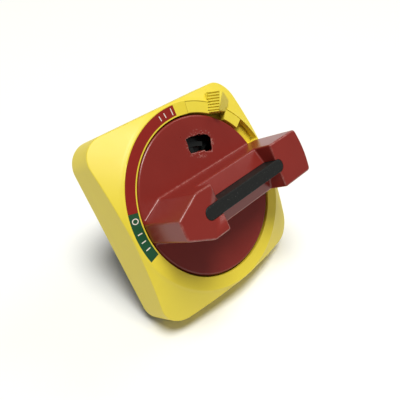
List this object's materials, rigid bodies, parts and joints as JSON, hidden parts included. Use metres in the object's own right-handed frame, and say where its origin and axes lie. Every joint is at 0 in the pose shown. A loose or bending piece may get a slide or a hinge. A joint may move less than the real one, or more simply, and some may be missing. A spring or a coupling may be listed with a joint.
{
  "type": "rotary isolator switch operating handle",
  "caption": "Door-mounted rotary isolator operator: square escutcheon with raised ring, turning disc with moulded handle, pull-out padlock bar and interlock release slide.",
  "frame": {"origin": "centre of the plane where the escutcheon meets the door, on the shaft axis", "axes": "+Z out of the door towards the operator, +Y up on the door (12 o'clock, ON), +X to the operator's right"},
  "size_m": [0.065, 0.065, 0.0673],
  "materials": {
    "escutcheon_plastic": "satin yellow moulding",
    "slide_plastic": "satin yellow moulding",
    "handle_plastic": "satin-gloss red moulding",
    "legend_red": "printed red foil",
    "legend_green": "printed green foil",
    "black_plastic": "satin black moulding",
    "rubber": "black rubber",
    "steel": "zinc-plated steel",
    "brass": "turned brass"
  },
  "bodies": {
    "housing": {"escutcheon": "escutcheon_plastic", "legend_on": "legend_red", "legend_off": "legend_green", "panel_gasket": "rubber", "fixing_inserts": "brass", "rear_cover": "black_plastic", "cover_screws": "steel", "release_spring": "steel"},
    "release": {"release_slide": "slide_plastic", "interlock_ring": "black_plastic"},
    "handle": {"handle_disc": "handle_plastic", "hub_carrier": "black_plastic", "hub_screws": "steel", "bar_spring_left": "steel", "bar_spring_right": "steel", "detent_balls": "steel", "detent_springs": "steel", "shaft_seal": "rubber", "wave_washer": "steel", "retaining_ring": "steel", "shaft_coupling": "steel", "coupling_pin": "steel", "coupling_screw": "steel"},
    "bar": {"padlock_bar": "black_plastic"},
    "bolt": {"lock_bolt": "steel"}
  },
  "joints": [
    {"name": "handle_turn", "type": "hinge", "parent": "housing", "child": "handle", "pos_m": [0, 0, 0], "axis": [0, 0, 1], "range_deg": [-90, 0]},
    {"name": "bar_pull", "type": "slide", "parent": "handle", "child": "bar", "axis": [0, 0, 1], "range_m": [0, 0.0095], "stiffness_N_per_m": 60, "springref_m": -0.008, "deforming": ["bar_spring_left", "bar_spring_right"]},
    {"name": "bolt_throw", "type": "slide", "parent": "handle", "child": "bolt", "axis": [-1, 0, 0], "range_m": [0, 0.0019]},
    {"name": "release_push", "type": "hinge", "parent": "housing", "child": "release", "pos_m": [0, 0, 0], "axis": [0, 0, 1], "range_deg": [-17, 0], "stiffness_Nm_per_rad": 0.04, "springref_deg": 17.19}
  ],
  "couplings": [
    {"joint": "bolt_throw", "follows": "bar_pull", "ratio": 0.2}
  ]
}
